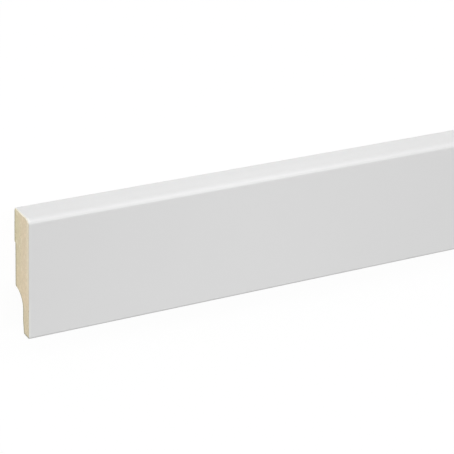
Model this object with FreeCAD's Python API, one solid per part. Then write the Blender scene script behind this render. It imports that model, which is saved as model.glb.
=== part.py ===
# Skirting board length: a moulded fibreboard profile with a white covering glued round its face.
# Millimetres. The board lies on its back: X runs along it, +Y points to its top edge and +Z out of
# its front face. The origin is at the middle of the underside.
import FreeCAD, Part
import math
import os

# Overall size, over the covering
length = 2400.0
height = 58.0
thickness = 16.0

# White covering
wrap_thickness = 0.3
back_strip_height = 5.0     # turned down the back, below the rounded top edge

# Rounded edges, outer radii over the covering
front_top_radius = 2.5
back_top_radius = 2.2
front_bottom_radius = 0.5

# Back: a land along the top that meets the wall, and a shallow bed for adhesive below it
land_height = 16.8          # from the top edge down
land_edge_slope = 0.5       # the land's lower edge leans by this much
bed_depth = 1.0

# Foot: the thin lower part, with a cove over it that leaves room for cables
foot_thickness = 6.7
foot_back_height = 11.8     # from the bottom edge up to the cove
foot_relief_height = 6.5    # the foot's back slopes in below this height
foot_relief_depth = 1.0
cove_radius = 7.8
nose_radius = 1.1           # rounds the corner between the cove and the bed


# Places that follow from the sizes. A depth is measured from the front face towards the wall,
# and a rise from the bottom edge upwards.
bed_at_depth = thickness - bed_depth
land_bottom_rise = height - land_height
back_strip_end_rise = height - back_top_radius - back_strip_height
foot_tip_depth = foot_thickness - foot_relief_depth
foot_inner_tip_depth = foot_tip_depth + foot_relief_depth * wrap_thickness / foot_relief_height
cove_centre_depth = foot_thickness + cove_radius
nose_centre_depth = bed_at_depth - nose_radius
nose_centre_rise = foot_back_height + math.sqrt(
    (cove_radius + nose_radius) ** 2 - (cove_centre_depth - nose_centre_depth) ** 2
)
cove_top_angle = math.degrees(
    math.atan2(nose_centre_rise - foot_back_height, cove_centre_depth - nose_centre_depth)
)


def at(depth, rise):
    """A point of the section, on the end of the board that faces -X."""
    return FreeCAD.Vector(-length / 2, rise - height / 2, thickness - depth)


def line(first, last):
    return Part.LineSegment(at(*first), at(*last)).toShape()


def arc(centre, radius, first, last):
    """An arc of the section. 0 degrees points to the front, 90 to the top, 180 to the wall."""
    points = []
    for degrees in (first, (first + last) / 2, last):
        angle = math.radians(degrees)
        depth = centre[0] - radius * math.cos(angle)
        rise = centre[1] + radius * math.sin(angle)
        points.append(at(depth, rise))
    return Part.Arc(*points).toShape()


def face_path(inset, foot_depth):
    """The covered side, from the foot's tip round the front and the top to the strip's end."""
    front = inset
    bottom = inset
    top = height - inset
    back = thickness - inset
    return [
        line((foot_depth, bottom), (front_bottom_radius, bottom)),
        arc((front_bottom_radius, front_bottom_radius), front_bottom_radius - inset, -90, 0),
        line((front, front_bottom_radius), (front, height - front_top_radius)),
        arc((front_top_radius, height - front_top_radius), front_top_radius - inset, 0, 90),
        line((front_top_radius, top), (thickness - back_top_radius, top)),
        arc((thickness - back_top_radius, height - back_top_radius), back_top_radius - inset, 90, 180),
        line((back, height - back_top_radius), (back, back_strip_end_rise)),
    ]


def back_path():
    """The bare side, from the strip's end down the back and the cove to the foot's tip."""
    return [
        line((thickness - wrap_thickness, back_strip_end_rise), (thickness, back_strip_end_rise)),
        line((thickness, back_strip_end_rise), (thickness, land_bottom_rise)),
        line((thickness, land_bottom_rise), (bed_at_depth, land_bottom_rise - land_edge_slope)),
        line((bed_at_depth, land_bottom_rise - land_edge_slope), (bed_at_depth, nose_centre_rise)),
        arc((nose_centre_depth, nose_centre_rise), nose_radius, 180, 180 + cove_top_angle),
        arc((cove_centre_depth, foot_back_height), cove_radius, cove_top_angle, 0),
        line((foot_thickness, foot_back_height), (foot_thickness, foot_relief_height)),
        line((foot_thickness, foot_relief_height), (foot_inner_tip_depth, wrap_thickness)),
    ]


def along_the_board(outline):
    section = Part.Face(Part.Wire(outline))
    return section.extrude(FreeCAD.Vector(length, 0, 0))


def mdf_core():
    """The fibreboard profile: everything inside the covering, with its bare back and sawn ends."""
    outline = face_path(wrap_thickness, foot_inner_tip_depth) + back_path()
    return along_the_board(outline)


def white_wrap():
    """The covering: an even skin from the foot's tip round to the strip let into the back."""
    outside = face_path(0, foot_tip_depth)
    inside = face_path(wrap_thickness, foot_inner_tip_depth)
    strip_end = line(
        (thickness, back_strip_end_rise), (thickness - wrap_thickness, back_strip_end_rise)
    )
    foot_end = line((foot_inner_tip_depth, wrap_thickness), (foot_tip_depth, 0))
    return along_the_board(outside + [strip_end] + inside[::-1] + [foot_end])


os.makedirs("parts", exist_ok=True)
mdf_core().exportStep("parts/mdf_core.step")
white_wrap().exportStep("parts/white_wrap.step")
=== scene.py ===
import math

import bmesh
import bpy
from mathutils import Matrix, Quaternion, Vector


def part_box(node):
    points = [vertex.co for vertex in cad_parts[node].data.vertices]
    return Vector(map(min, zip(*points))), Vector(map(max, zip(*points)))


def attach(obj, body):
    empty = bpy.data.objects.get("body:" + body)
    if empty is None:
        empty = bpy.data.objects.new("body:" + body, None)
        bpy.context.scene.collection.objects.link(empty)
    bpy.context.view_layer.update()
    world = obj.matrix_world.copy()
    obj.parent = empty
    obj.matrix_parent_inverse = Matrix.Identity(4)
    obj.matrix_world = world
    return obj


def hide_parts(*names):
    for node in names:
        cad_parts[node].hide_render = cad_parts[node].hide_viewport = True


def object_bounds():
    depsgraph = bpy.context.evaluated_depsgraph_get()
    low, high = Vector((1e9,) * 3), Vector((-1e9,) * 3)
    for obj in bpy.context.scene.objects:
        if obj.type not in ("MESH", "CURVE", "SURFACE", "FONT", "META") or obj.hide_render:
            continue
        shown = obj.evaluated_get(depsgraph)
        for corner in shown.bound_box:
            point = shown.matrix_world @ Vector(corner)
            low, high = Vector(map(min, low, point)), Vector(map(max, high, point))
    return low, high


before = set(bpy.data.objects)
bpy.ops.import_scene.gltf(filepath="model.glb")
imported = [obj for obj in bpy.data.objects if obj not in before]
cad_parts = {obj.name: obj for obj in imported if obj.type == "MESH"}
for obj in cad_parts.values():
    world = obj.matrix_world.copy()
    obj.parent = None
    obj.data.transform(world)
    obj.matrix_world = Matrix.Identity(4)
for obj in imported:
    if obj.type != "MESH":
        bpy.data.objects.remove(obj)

board_low, board_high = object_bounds()


# The moulded core: one strip of fibreboard, milled to a section with a rounded top, a land and a
# shallow adhesive bed on its back and a cove over a thin foot, then sawn square at both ends.
mm = 0.001
length, height, thickness = board_high - board_low
foil_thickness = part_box("white_wrap")[1].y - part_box("mdf_core")[1].y

front_top_radius = 2.5 * mm
back_top_radius = 2.2 * mm
front_bottom_radius = 0.5 * mm
back_strip_height = 5.0 * mm
land_height = 16.8 * mm
land_edge_slope = 0.5 * mm
bed_at_depth = thickness - 1.0 * mm
foot_thickness = 6.7 * mm
foot_back_height = 11.8 * mm
foot_relief_height = 6.5 * mm
foot_relief_depth = 1.0 * mm
cove_radius = 7.8 * mm
nose_radius = 1.1 * mm

point_spacing = 0.7 * mm
facet_degrees = 7.5
shortest_facet = 0.08 * mm
tolerance = 0.01 * mm


def at(depth, rise):
    """A section point: depth from the front face, rise from the bottom edge. A sweep along +X lays
    the section's X along -Y of the board, and its Y along -Z."""
    return Vector((height / 2 - rise, depth - thickness, 0))


def line(first, last):
    """Evenly spaced points from one depth and rise to another."""
    first = at(*first)
    last = at(*last)
    steps = max(1, math.ceil((last - first).length / point_spacing))
    return [first.lerp(last, i / steps) for i in range(steps + 1)]


def arc(centre, radius, first, last):
    """Points round a centre. 0 degrees is towards the front, 90 the top edge and 180 the wall."""
    turn = abs(last - first)
    steps = math.ceil(min(turn / facet_degrees, math.radians(turn) * radius / shortest_facet))
    points = []
    for i in range(steps + 1):
        angle = math.radians(first + (last - first) * i / steps)
        points.append(at(centre[0] - radius * math.cos(angle), centre[1] + radius * math.sin(angle)))
    return points


def face_stretches(inset, foot_depth):
    """The covered side of the section, or a line set in from it: from the foot's tip up the front,
    over the top and down the back to where the covering ends."""
    front_corner = (front_bottom_radius, front_bottom_radius)
    front_crown = (front_top_radius, height - front_top_radius)
    back_crown = (thickness - back_top_radius, height - back_top_radius)
    return [
        line((foot_depth, inset), (front_corner[0], inset)),
        arc(front_corner, front_bottom_radius - inset, -90, 0),
        line((inset, front_corner[1]), (inset, front_crown[1])),
        arc(front_crown, front_top_radius - inset, 0, 90),
        line((front_crown[0], height - inset), (back_crown[0], height - inset)),
        arc(back_crown, back_top_radius - inset, 90, 180),
        line((thickness - inset, back_crown[1]), (thickness - inset, strip_end_rise)),
    ]


def section_object(name, stretches):
    """A closed outline of points and edges, leaving out each point that repeats the one before."""
    points = []
    for point in [point for stretch in stretches for point in stretch]:
        if not points or (point - points[-1]).length > tolerance:
            points.append(point)
    if (points[0] - points[-1]).length < tolerance:
        points.pop()
    mesh = bpy.data.meshes.new(name)
    mesh.from_pydata(points, [(i, (i + 1) % len(points)) for i in range(len(points))], [])
    made = bpy.data.objects.new(name, mesh)
    bpy.context.collection.objects.link(made)
    return made


strip_end_rise = height - back_top_radius - back_strip_height
land_bottom_rise = height - land_height
foot_tip_depth = foot_thickness - foot_relief_depth
foot_inner_tip_depth = foot_tip_depth + foot_relief_depth * foil_thickness / foot_relief_height
cove_centre = (foot_thickness + cove_radius, foot_back_height)
nose_depth = bed_at_depth - nose_radius
nose_drop = cove_centre[0] - nose_depth
nose_rise = foot_back_height + math.sqrt((cove_radius + nose_radius) ** 2 - nose_drop ** 2)
cove_top_angle = math.degrees(math.atan2(nose_rise - foot_back_height, nose_drop))
bed_top_rise = land_bottom_rise - land_edge_slope

back_stretches = [
    line((thickness - foil_thickness, strip_end_rise), (thickness, strip_end_rise)),
    line((thickness, strip_end_rise), (thickness, land_bottom_rise)),
    line((thickness, land_bottom_rise), (bed_at_depth, bed_top_rise)),
    line((bed_at_depth, bed_top_rise), (bed_at_depth, nose_rise)),
    arc((nose_depth, nose_rise), nose_radius, 180, 180 + cove_top_angle),
    arc(cove_centre, cove_radius, cove_top_angle, 0),
    line((foot_thickness, foot_back_height), (foot_thickness, foot_relief_height)),
    line((foot_thickness, foot_relief_height), (foot_inner_tip_depth, foil_thickness)),
]
core = section_object(
    "fibreboard_core", face_stretches(foil_thickness, foot_inner_tip_depth) + back_stretches
)


class Signal:
    """An output socket in a node tree. Sums and products of signals add Math nodes."""

    def __init__(self, tree, socket):
        self.tree = tree
        self.socket = socket

    def math(self, operation, *values):
        return self.tree.node("ShaderNodeMath", {"operation": operation}, dict(enumerate(values)))

    def __add__(self, other):
        return self.math("ADD", self, other)

    def __sub__(self, other):
        return self.math("SUBTRACT", self, other)

    def __rsub__(self, other):
        return self.math("SUBTRACT", other, self)

    def __mul__(self, other):
        return self.math("MULTIPLY", self, other)

    def __truediv__(self, other):
        return self.math("DIVIDE", self, other)

    def __pow__(self, other):
        return self.math("POWER", self, other)

    def __gt__(self, other):
        return self.math("GREATER_THAN", self, other)

    __radd__ = __add__
    __rmul__ = __mul__

    def size(self):
        return self.math("ABSOLUTE", self)

    def at_least(self, floor):
        return self.math("MAXIMUM", self, floor)

    def sign(self):
        return self.math("SIGN", self)

    def wave(self):
        return self.math("SINE", self)

    def ramp(self, low, high):
        """0 at low, 1 at high, eased between them."""
        return self.tree.node(
            "ShaderNodeMapRange",
            {"interpolation_type": "SMOOTHSTEP"},
            {"Value": self, "From Min": low, "From Max": high},
        )


class Tree:
    """A tree of nodes, with one way to put any node into it."""

    def __init__(self, tree):
        self.tree = tree

    def node(self, kind, settings=None, inputs=None, output=0):
        made = self.tree.nodes.new(kind)
        for name, value in (settings or {}).items():
            setattr(made, name, value)
        for name, value in (inputs or {}).items():
            if isinstance(value, Signal):
                self.tree.links.new(value.socket, made.inputs[name])
            else:
                made.inputs[name].default_value = value
        return Signal(self, made.outputs[output]) if made.outputs else None

    def axes(self, vector):
        return [self.node("ShaderNodeSeparateXYZ", inputs={0: vector}, output=i) for i in range(3)]

    def vector(self, x, y, z):
        return self.node("ShaderNodeCombineXYZ", inputs={0: x, 1: y, 2: z})

    def other_output(self, signal, name):
        """Another output of the node that a signal comes from."""
        return Signal(self, signal.socket.node.outputs[name])

    def join(self, *geometries):
        """One geometry of several."""
        made = self.tree.nodes.new("GeometryNodeJoinGeometry")
        for geometry in geometries:
            self.tree.links.new(geometry.socket, made.inputs[0])
        return Signal(self, made.outputs[0])

    def noise(self, place, per_metre, detail=2.0, roughness=0.5):
        """Cloudy noise from 0 to 1, about 0.5, with so many grains to the metre."""
        return self.node(
            "ShaderNodeTexNoise",
            inputs={"Vector": place, "Scale": per_metre, "Detail": detail, "Roughness": roughness},
        )

    def mix(self, share, first, second):
        """The first colour, turning into the second as the share rises to 1."""
        return self.node(
            "ShaderNodeMix", {"data_type": "RGBA"}, {0: share, 6: first, 7: second}, output=2
        )

    def tinted(self, colour, tints):
        """The colour with each tint laid over it in turn, by its share."""
        for share, tint in tints:
            colour = self.mix(share, colour, tint)
        return colour


def geometry_tree(name, inputs):
    """A geometry tree with named inputs besides the geometry, and a signal for each by its name."""
    group = bpy.data.node_groups.new(name, "GeometryNodeTree")
    sockets = group.interface
    sockets.new_socket("Geometry", in_out="INPUT", socket_type="NodeSocketGeometry")
    for input_name, kind in inputs.items():
        sockets.new_socket(input_name, in_out="INPUT", socket_type=kind)
    sockets.new_socket("Geometry", in_out="OUTPUT", socket_type="NodeSocketGeometry")
    tree = Tree(group)
    inlet = group.nodes.new("NodeGroupInput")
    return tree, {socket.name: Signal(tree, socket) for socket in inlet.outputs if socket.name}


def close_tree(tree, geometry, material):
    """Ends a geometry tree in real faces that carry the piece's material."""
    real = tree.node("GeometryNodeRealizeInstances", inputs={0: geometry})
    painted = tree.node("GeometryNodeSetMaterial", inputs={"Geometry": real, "Material": material})
    tree.node("NodeGroupOutput", inputs={0: painted})


def run_tree(piece, tree, values):
    """Puts a geometry tree on a piece, with a value for each input by its name."""
    modifier = piece.modifiers.new(tree.tree.name, "NODES")
    modifier.node_group = tree.tree
    for item in tree.tree.interface.items_tree:
        if item.name in values:
            modifier[item.identifier] = values[item.name]


# The sweep moulds a section into a length. Its stations crowd together towards the sawn ends,
# where the edge of the section is left a little ragged by the blade.
station_count = 41

sweep, given = geometry_tree(
    "moulded_length",
    {
        "Length": "NodeSocketFloat",
        "Stations": "NodeSocketInt",
        "Ragged Depth": "NodeSocketFloat",
        "Chips per Metre": "NodeSocketFloat",
        "Material": "NodeSocketMaterial",
    },
)
half = given["Length"] * 0.5
rail = sweep.node(
    "GeometryNodeCurvePrimitiveLine",
    inputs={"Start": sweep.vector(half * -1, 0, 0), "End": sweep.vector(half, 0, 0)},
)
rail = sweep.node("GeometryNodeResampleCurve", inputs={"Curve": rail, "Count": given["Stations"]})
station = sweep.axes(sweep.node("GeometryNodeInputPosition"))[0] / half
from_end = (1 - station.size()) ** 2
crowded = station.sign() * (1 - from_end) * half
rail = sweep.node(
    "GeometryNodeSetPosition", inputs={"Geometry": rail, "Position": sweep.vector(crowded, 0, 0)}
)
rail = sweep.node("GeometryNodeSetCurveNormal", {"mode": "Z_UP"}, {"Curve": rail})
section = sweep.node("GeometryNodeMeshToCurve", inputs={"Mesh": given["Geometry"]})
board = sweep.node(
    "GeometryNodeCurveToMesh", inputs={"Curve": rail, "Profile Curve": section, "Fill Caps": True}
)
board = sweep.node("GeometryNodeFlipFaces", inputs={"Mesh": board})
place = sweep.node("GeometryNodeInputPosition")
along = sweep.axes(place)[0]
sawn = along.size() > half - tolerance
chips = sweep.noise(place, per_metre=given["Chips per Metre"], detail=3.0, roughness=0.7)
bite = chips.ramp(0.45, 0.85) * given["Ragged Depth"] * along.sign() * -1
board = sweep.node(
    "GeometryNodeSetPosition",
    inputs={"Geometry": board, "Selection": sawn, "Offset": sweep.vector(bite, 0, 0)},
)
close_tree(sweep, board, given["Material"])


# Bare fibreboard: fibre pressed in layers, denser and darker towards the two faces, with flecks of
# bark. The saw bares the layers and leaves arcs and a white smear under the covering, and the cutters
# leave ripples along the milled back. A band of painted shade darkens each sawn end along its
# wall-side and bottom arris.
front_fibre = (0.785, 0.66, 0.49, 1)
wall_fibre = (0.715, 0.685, 0.46, 1)
pressed_fibre = (0.64, 0.58, 0.40, 1)
foot_fibre = (0.53, 0.52, 0.33, 1)
cove_fibre = (0.85, 0.69, 0.49, 1)
mottled_fibre = (0.66, 0.57, 0.41, 1)
clumped_fibre = (0.64, 0.56, 0.39, 1)
brown_dust = (0.62, 0.52, 0.36, 1)
pale_strand = (0.84, 0.76, 0.59, 1)
dark_layer = (0.61, 0.52, 0.37, 1)
pale_tuft = (0.92, 0.84, 0.69, 1)
bark_fleck = (0.40, 0.31, 0.21, 1)
milled_fibre = (0.56, 0.46, 0.31, 1)
arris_shade_fibre = (0.36, 0.34, 0.24, 1)
dried_glue = (0.85, 0.80, 0.67, 1)
white_smear = (0.95, 0.92, 0.81, 1)

sawn_skin = 0.3 * mm
smear_radius = 3.8 * mm
smear_wander = 0.9 * mm
blade_radius = 140 * mm
blade_centre_drop = 0.79 * blade_radius
blade_centre_back = 0.68 * blade_radius
blade_pitch = 0.9 * mm
cutter_pitch = 1.6 * mm
strand_width = 0.022

# Squeezing a pattern's coordinates one way draws its grains out that way: the layers run up the board
# and the streaks along it.
layer_squeeze = 0.35
streak_squeeze = 0.05


def surface(name):
    """A new material, and its tree of nodes with nothing in it yet."""
    material = bpy.data.materials.new(name)
    material.use_nodes = True
    material.node_tree.nodes.clear()
    return material, Tree(material.node_tree)


def finish_surface(tree, sockets):
    shader = tree.node("ShaderNodeBsdfPrincipled", inputs=sockets)
    tree.node("ShaderNodeOutputMaterial", inputs={"Surface": shader})


fibreboard, board_tree = surface("bare_fibreboard")
place = board_tree.node("ShaderNodeTexCoord", output="Object")
along, up, out = board_tree.axes(place)
depth = thickness - out
rise = up + height / 2
sawn_end = along.size() > length / 2 - sawn_skin

mottle = board_tree.noise(place, per_metre=420, detail=4.0, roughness=0.6)
clumps = board_tree.noise(place, per_metre=1000, detail=2.0).ramp(0.38, 0.62)
dust = board_tree.noise(place, per_metre=2600, detail=2.0, roughness=0.7)
bark = board_tree.noise(place, per_metre=800, detail=1.5).ramp(0.68, 0.75)
layered = board_tree.vector(along, up * layer_squeeze, out)
layers = board_tree.noise(layered, per_metre=1500, detail=4.0, roughness=0.65).ramp(0.42, 0.62)
tufts = board_tree.noise(layered, per_metre=800, detail=4.0, roughness=0.65).ramp(0.55, 0.72)
drawn_out = board_tree.vector(along * streak_squeeze, up, out)
streaks = board_tree.noise(drawn_out, per_metre=900, detail=3.0, roughness=0.6)
strand_lines = board_tree.noise(place, per_metre=650, detail=3.0, roughness=0.65) - 0.5
strand_patches = board_tree.noise(place, per_metre=240, detail=1.0).ramp(0.42, 0.62)
strands = (1 - strand_lines.size().ramp(0.0, strand_width)) * strand_patches

to_wall = depth.ramp(5 * mm, 15 * mm)
pressed = (depth - thickness / 2).size().ramp(thickness * 0.38, thickness * 0.5)
on_foot = 1 - rise.ramp(9 * mm, 20 * mm)
by_cove = rise.ramp(12 * mm, 16 * mm) * (1 - rise.ramp(26 * mm, 36 * mm))

# Where the back's outline lies at each rise, so that the band of painted shade can follow the
# wall-side arris.
cove_run = (rise - foot_back_height).at_least(0)
back_depth = cove_centre[0] - (cove_radius ** 2 - cove_run ** 2).at_least(0) ** 0.5
back_depth = back_depth + (rise > nose_rise) * (bed_at_depth - cove_centre[0])
back_depth = back_depth + rise.ramp(bed_top_rise, land_bottom_rise) * (thickness - bed_at_depth)
back_depth = back_depth - (1 - rise / foot_relief_height).at_least(0) * foot_relief_depth
clear_of_arris_shade = (back_depth - depth).ramp(0.5 * mm, 1.5 * mm) * rise.ramp(0.6 * mm, 1.4 * mm)

glue_haze = (1 - depth.ramp(1.2 * mm, 3.6 * mm)) * rise.ramp(16 * mm, 28 * mm)
front_side = (smear_radius - depth).at_least(0)
top_side = (smear_radius - height + rise).at_least(0)
under_foil = smear_radius - (front_side ** 2 + top_side ** 2) ** 0.5
smear = 1 - (under_foil + (mottle - 0.5) * smear_wander).ramp(0.85 * mm, 1.15 * mm)
smear = smear * rise.ramp(height - 2.4 * mm, height - 1.5 * mm) * (1 - clumps * 0.35)

fibre_colour = board_tree.tinted(
    board_tree.mix(to_wall, front_fibre, wall_fibre),
    [
        (pressed * 0.4, pressed_fibre),
        (on_foot * 0.4, foot_fibre),
        (by_cove * 0.5, cove_fibre),
        (mottle.ramp(0.35, 0.65) * 0.45, mottled_fibre),
        (clumps * 0.4, clumped_fibre),
        (dust.ramp(0.35, 0.75) * 0.35, brown_dust),
        (strands * 0.5, pale_strand),
        (sawn_end * layers * 0.5, dark_layer),
        (sawn_end * tufts * 0.6, pale_tuft),
        (bark * 0.6, bark_fleck),
        ((1 - sawn_end) * streaks.ramp(0.35, 0.7) * 0.35, milled_fibre),
        # painted shade along the wall-side and bottom arris of a sawn end
        (sawn_end * (1 - clear_of_arris_shade) * 0.8, arris_shade_fibre),
        (sawn_end * glue_haze * 0.3, dried_glue),
        (sawn_end * smear, white_smear),
    ],
)

from_blade = ((up + blade_centre_drop) ** 2 + (out + blade_centre_back) ** 2) ** 0.5
blade_marks = (from_blade * (2 * math.pi / blade_pitch)).wave()
cutter_marks = (along * (2 * math.pi / cutter_pitch)).wave()
relief = mottle * (0.03 * mm) + dust * (0.03 * mm) + strands * (0.012 * mm)
relief = relief + sawn_end * (blade_marks * (0.006 * mm) + layers * (0.01 * mm))
relief = relief + (1 - sawn_end) * (cutter_marks * (0.004 * mm) + streaks * (0.03 * mm))
board_bump = board_tree.node("ShaderNodeBump", inputs={"Distance": 1.0, "Height": relief})
finish_surface(
    board_tree,
    {
        "Base Color": fibre_colour,
        "Roughness": 0.82 + dust * 0.12,
        "Specular IOR Level": 0.3,
        "Normal": board_bump,
    },
)


sharp_degrees = 28


def soften(piece, width):
    """Breaks the sharp edges by a small width and keeps the flats shading flat."""
    bevel = piece.modifiers.new("broken_edges", "BEVEL")
    bevel.width = width
    bevel.segments = 2
    bevel.limit_method = "ANGLE"
    bevel.angle_limit = math.radians(sharp_degrees)
    bevel.use_clamp_overlap = True
    normals = piece.modifiers.new("flat_faces", "WEIGHTED_NORMAL")
    normals.keep_sharp = False


def to_plain_mesh(piece):
    """Turns what the modifiers make into the piece's own mesh, without an empty slot at its end."""
    seen = piece.evaluated_get(bpy.context.evaluated_depsgraph_get())
    mesh = bpy.data.meshes.new_from_object(seen)
    while not mesh.materials[-1]:
        mesh.materials.pop()
    piece.modifiers.clear()
    piece.data = mesh
    mesh.name = piece.name
    for polygon in mesh.polygons:
        polygon.use_smooth = True


# A flat map that the finish can be baked through, under the name OFBake. The sides lie in four
# columns, one for each stretch of the length, cut where the sweep has stations. The sawn ends lie
# beside them, large enough to keep their fibres.
map_name = "OFBake"
stretch_bounds = (-1.0, -0.4, 0.0, 0.4, 1.0)
ends_width = 0.15
column_width = (1 - ends_width) / (len(stretch_bounds) - 1)
gap_on_map = 0.002
fibre_room = 0.5 * mm


def station_at(x):
    """From -1 to 1 along the board, crowded towards its ends as the sweep's stations are."""
    return math.copysign(1 - math.sqrt(max(0.0, 1 - abs(x) / (length / 2))), x)


def between(low, high, share):
    """A share of the way between two bounds on the map, with a gap kept at both."""
    return low + gap_on_map + (high - low - 2 * gap_on_map) * share


def place_on_end(place, far):
    """A point of a sawn end on the map, with the far end above the near one."""
    across = (place.z + fibre_room) / (thickness + 2 * fibre_room)
    up_it = (place.y + height / 2 + fibre_room) / (height + 2 * fibre_room)
    return between(1 - ends_width, 1, across), between(far / 2, (1 + far) / 2, up_it)


def side_of(face, widths):
    """The side of the board that a face is on. A covering's inner faces are its glued side."""
    outward = face.center.y * face.normal.y + (face.center.z - thickness / 2) * face.normal.z
    if "glued" in widths and outward < 0:
        return "glued"
    if abs(face.normal.z) >= abs(face.normal.y):
        return "front" if face.normal.z > 0 else "back"
    return "top" if face.normal.y > 0 else "underside"


def lay_flat(piece, widths):
    """Gives a piece that map. The widths are the shares of a column that its sides take."""
    mesh = piece.data
    flat = mesh.uv_layers.new(name=map_name)
    taken = 0
    starts = {}
    for side, width in widths.items():
        starts[side] = taken
        taken += width
    for face in mesh.polygons:
        side = side_of(face, widths)
        stretch = sum(station_at(face.center.x) > bound for bound in stretch_bounds[1:-1])
        first, last = stretch_bounds[stretch:stretch + 2]
        low = column_width * (stretch + starts[side])
        high = low + column_width * widths[side]
        on_sawn_end = abs(face.center.x) > length / 2 - sawn_skin
        on_narrow_side = abs(face.normal.y) > abs(face.normal.z)
        for corner, vertex in zip(face.loop_indices, face.vertices):
            place = mesh.vertices[vertex].co
            if on_sawn_end:
                flat.uv[corner].vector = place_on_end(place, face.center.x > 0)
                continue
            across = place.z / thickness if on_narrow_side else place.y / height + 0.5
            along_it = (station_at(place.x) - first) / (last - first)
            flat.uv[corner].vector = (between(low, high, across), between(0, 1, along_it))


run_tree(
    core,
    sweep,
    {
        "Length": length,
        "Stations": station_count,
        "Ragged Depth": 0.0,
        "Chips per Metre": 0.0,
        "Material": fibreboard,
    },
)
soften(core, 0.13 * mm)

# The saw leaves short cut fibres of the board standing on both ends, more of them along the arris.
# Each is a thin three-sided spike that leans its own way and has its own length.
end_facing = 0.97
arris_facing = 0.2
lean_radians = 1.1
spin_radians = 3.1
shortest_growth = 0.35

fuzz, given = geometry_tree(
    "sawn_fuzz",
    {
        "Fibre Length": "NodeSocketFloat",
        "Fibre Radius": "NodeSocketFloat",
        "Fibres per Square Metre": "NodeSocketFloat",
        "Arris Crowding": "NodeSocketFloat",
        "Seed": "NodeSocketInt",
        "Material": "NodeSocketMaterial",
    },
)
facing_out = fuzz.axes(fuzz.node("GeometryNodeInputNormal"))[0].size()
on_end = facing_out > end_facing
on_arris = (facing_out > arris_facing) * (1 - on_end)
crowding = on_end + on_arris * given["Arris Crowding"]
scatter = {
    "Mesh": given["Geometry"],
    "Density": crowding * given["Fibres per Square Metre"],
    "Seed": given["Seed"],
}
roots = fuzz.node("GeometryNodeDistributePointsOnFaces", inputs=scatter)
upright = fuzz.other_output(roots, "Rotation")
tilt = fuzz.node(
    "FunctionNodeRandomValue",
    {"data_type": "FLOAT_VECTOR"},
    {
        0: (-lean_radians, -lean_radians, 0.0),
        1: (lean_radians, lean_radians, spin_radians),
        "Seed": given["Seed"],
    },
)
leaning = fuzz.node("FunctionNodeRotateRotation", {"rotation_space": "LOCAL"}, {0: upright, 1: tilt})
grown = fuzz.node(
    "FunctionNodeRandomValue",
    inputs={2: shortest_growth, 3: 1.0, "Seed": given["Seed"]},
    output=1,
)
fibre = fuzz.node(
    "GeometryNodeMeshCone",
    inputs={"Vertices": 3, "Radius Bottom": given["Fibre Radius"], "Depth": given["Fibre Length"]},
)
fibres = fuzz.node(
    "GeometryNodeInstanceOnPoints",
    inputs={"Points": roots, "Instance": fibre, "Rotation": leaning, "Scale": grown},
)
both = fuzz.join(given["Geometry"], fibres)
close_tree(fuzz, both, given["Material"])
run_tree(
    core,
    fuzz,
    {
        "Fibre Length": 0.3 * mm,
        "Fibre Radius": 0.014 * mm,
        "Fibres per Square Metre": 4.0e5,
        "Arris Crowding": 7.0,
        "Seed": 5,
        "Material": fibreboard,
    },
)
to_plain_mesh(core)
lay_flat(core, {"front": 0.04, "back": 0.78, "top": 0.03, "underside": 0.15})
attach(core, "root")
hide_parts("mdf_core")


# The covering: satin white foil a third of a millimetre thick, glued round the front, the top and the
# bottom edge by rollers, its edge let into the back. Its tone rises and falls slowly along the
# length, the saw whitens the cut edge, and handling has scuffed the foot's underside grey. Painted
# shade greys the back crown and the bottom arris, and a painted highlight whitens the front crown by
# the cut end.
outer_side = face_stretches(0.0, foot_tip_depth)
glued_side = face_stretches(foil_thickness, foot_inner_tip_depth)
foil = section_object("white_foil", outer_side + [stretch[::-1] for stretch in glued_side[::-1]])


def grey(level):
    return (level, level, level, 1)


dark_foil = grey(0.762)
light_foil = grey(0.802)
back_crown_shade_grey = grey(0.73)
sawn_foil = (0.72, 0.72, 0.69, 1)
sawn_crown_foil = (0.85, 0.84, 0.80, 1)
whitened_and_highlit_crown = (0.97, 0.97, 0.95, 1)
whitened_foot = (0.90, 0.90, 0.84, 1)
shade_and_scuff_grey = (0.56, 0.56, 0.555, 1)
tone_wave_length = 290 * mm
tone_wave_phase = 0.16

white_foil, foil_tree = surface("satin_white_foil")
place = foil_tree.node("ShaderNodeTexCoord", output="Object")
along, up, out = foil_tree.axes(place)
depth = thickness - out
rise = up + height / 2
cut_edge = along.size().ramp(length / 2 - 0.18 * mm, length / 2 - 0.12 * mm)
near_cut = along.size().ramp(length / 2 - 1.1 * mm, length / 2 - 0.4 * mm)

haze = foil_tree.noise(place, per_metre=35, detail=3.0)
peel = foil_tree.noise(place, per_metre=1300, detail=2.0, roughness=0.6)
telegraph = foil_tree.noise(place, per_metre=160, detail=3.0)
# A slow wave of lighter and darker tone along the length.
slow_tone_wave = (along * (2 * math.pi / tone_wave_length) + tone_wave_phase).wave()

saw_entry = rise.ramp(height - 3 * mm, height - 1 * mm)
# Painted shade: the back crown, turned away from the lamps, is greyed.
back_crown = rise.ramp(height - 3 * mm, height - 2 * mm) * depth.ramp(5 * mm, thickness - 1 * mm)
# The front crown beside the cut end is whitened, as foil whitened by the saw and as a painted
# highlight where the crown's own highlight reaches the cut.
front_crown = rise.ramp(height - 2.1 * mm, height - 1.0 * mm) * (1 - depth.ramp(1.2 * mm, 3.0 * mm))
on_foot = 1 - rise.ramp(14 * mm, 22 * mm)
under_foot = depth.ramp(0.7 * mm, 1.6 * mm) * (1 - near_cut)
scuffs = telegraph.ramp(0.48, 0.66) * 0.5
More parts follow.
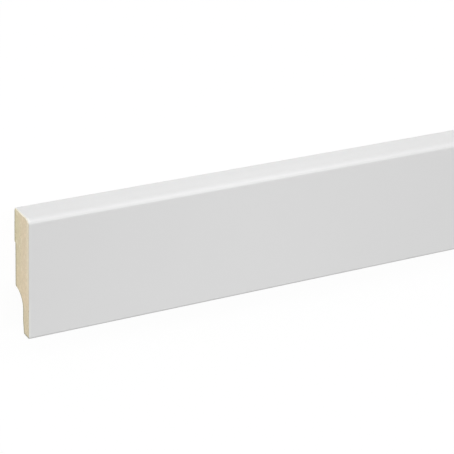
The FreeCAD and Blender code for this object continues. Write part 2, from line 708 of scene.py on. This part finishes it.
# Painted shade greys the bottom arris; on the foot's underside the grey is left only in patchy scuffs
# from handling.
arris_shade_and_scuffs = (1 - rise.ramp(0.4 * mm, 1.0 * mm)) * (1 - under_foot * (1 - scuffs))
foil_colour = foil_tree.tinted(
    foil_tree.mix(0.25 + slow_tone_wave * 0.4 + haze * 0.4, dark_foil, light_foil),
    [
        (back_crown * 0.5, back_crown_shade_grey),
        (cut_edge, sawn_foil),
        (cut_edge * saw_entry, sawn_crown_foil),
        (near_cut * front_crown * 0.65, whitened_and_highlit_crown),
        (near_cut * on_foot * 0.35, whitened_foot),
        (arris_shade_and_scuffs * 0.95, shade_and_scuff_grey),
    ],
)
foil_relief = peel * (0.006 * mm) + telegraph * (0.015 * mm)
foil_bump = foil_tree.node("ShaderNodeBump", inputs={"Distance": 1.0, "Height": foil_relief})
finish_surface(
    foil_tree,
    {
        "Base Color": foil_colour,
        "Roughness": 0.26 + haze * 0.04 + peel * 0.03,
        "Specular IOR Level": 0.5,
        "Normal": foil_bump,
    },
)

run_tree(
    foil,
    sweep,
    {
        "Length": length,
        "Stations": station_count,
        "Ragged Depth": 0.12 * mm,
        "Chips per Metre": 900.0,
        "Material": white_foil,
    },
)
soften(foil, 0.1 * mm)
to_plain_mesh(foil)
lay_flat(foil, {"front": 0.5, "back": 0.14, "top": 0.16, "underside": 0.12, "glued": 0.08})
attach(foil, "root")
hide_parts("white_wrap")


# The floor under the board: pale and plain. The camera and reflections see it as white paper
# that still keeps the board's faint shadow.
floor_size = 16.0
paper_glow = 1.04
paper_share = 0.9
floor_mesh = bpy.data.meshes.new("floor")
floor_shape = bmesh.new()
bmesh.ops.create_grid(floor_shape, x_segments=1, y_segments=1, size=floor_size / 2)
floor_shape.to_mesh(floor_mesh)
floor_shape.free()
floor = bpy.data.objects.new("floor", floor_mesh)
bpy.context.collection.objects.link(floor)


def seen_white(tree):
    """1 for rays that come straight from the camera, a reflection or clear glass."""
    rays = [
        tree.node("ShaderNodeLightPath", output=name)
        for name in ("Is Camera Ray", "Is Glossy Ray", "Is Transmission Ray")
    ]
    return tree.node("ShaderNodeClamp", inputs={"Value": rays[0] + rays[1] + rays[2]})


paper, paper_tree = surface("pale_floor")
lit = paper_tree.node("ShaderNodeBsdfDiffuse", inputs={"Color": grey(0.8)})
white = paper_tree.node("ShaderNodeEmission", inputs={"Color": grey(1.0), "Strength": paper_glow})
both = paper_tree.node(
    "ShaderNodeMixShader", inputs={0: seen_white(paper_tree) * paper_share, 1: lit, 2: white}
)
paper_tree.node("ShaderNodeOutputMaterial", inputs={"Surface": both})
floor_mesh.materials.append(paper)


# Light: an even pale sky and four distant lamps, so that the whole length is lit alike. Two narrow
# ones light the face and its rounded edge, and two broad ones the top edge and the sawn end.
sky_strength = 0.43
world = bpy.data.worlds.new("studio")
world.use_nodes = True
world.node_tree.nodes.clear()
world_tree = Tree(world.node_tree)
sky = world_tree.node(
    "ShaderNodeBackground", inputs={"Color": grey(1.0), "Strength": sky_strength}
)
backdrop = world_tree.node("ShaderNodeBackground", inputs={"Color": grey(1.0), "Strength": 1.0})
both = world_tree.node(
    "ShaderNodeMixShader", inputs={0: seen_white(world_tree), 1: sky, 2: backdrop}
)
world_tree.node("ShaderNodeOutputWorld", inputs={"Surface": both})
bpy.context.scene.world = world


def distant_lamp(name, towards, strength, spread_degrees):
    """A lamp far away in the direction given, as broad as its spread."""
    light = bpy.data.lights.new(name, "SUN")
    light.energy = strength
    light.angle = math.radians(spread_degrees)
    lamp = bpy.data.objects.new(name, light)
    lamp.rotation_mode = "QUATERNION"
    lamp.rotation_quaternion = Vector(towards).to_track_quat("Z", "Y")
    bpy.context.collection.objects.link(lamp)


distant_lamp("face_lamp", towards=(0.44, 0.11, 0.891), strength=0.465, spread_degrees=14)
distant_lamp("crown_lamp", towards=(0.44, 0.673, 0.594), strength=0.41, spread_degrees=13)
distant_lamp("top_lamp", towards=(-0.30, 0.85, 0.43), strength=0.705, spread_degrees=40)
distant_lamp("end_lamp", towards=(-0.90, 0.334, 0.28), strength=1.14, spread_degrees=35)


# The camera looks down on the board from above its top edge, turned so that the board runs
# across the picture as it does in the photograph.
camera_place = Vector((-1.49447, 0.37563, 0.70103))
camera_aim = Vector((-1.10214, 0.00756, 0.016))
camera_roll = math.radians(129.1315)
camera_lens = 151.378

view = bpy.data.cameras.new("camera")
view.sensor_width = 36.0
view.lens = camera_lens
view.clip_start = 0.05
view.clip_end = 50.0
camera = bpy.data.objects.new("camera", view)
camera.location = camera_place
camera.rotation_mode = "QUATERNION"
level = (camera_aim - camera_place).to_track_quat("-Z", "Y")
camera.rotation_quaternion = level @ Quaternion((0, 0, 1), camera_roll)
bpy.context.collection.objects.link(camera)
bpy.context.scene.camera = camera
bpy.context.scene.view_settings.view_transform = "Standard"
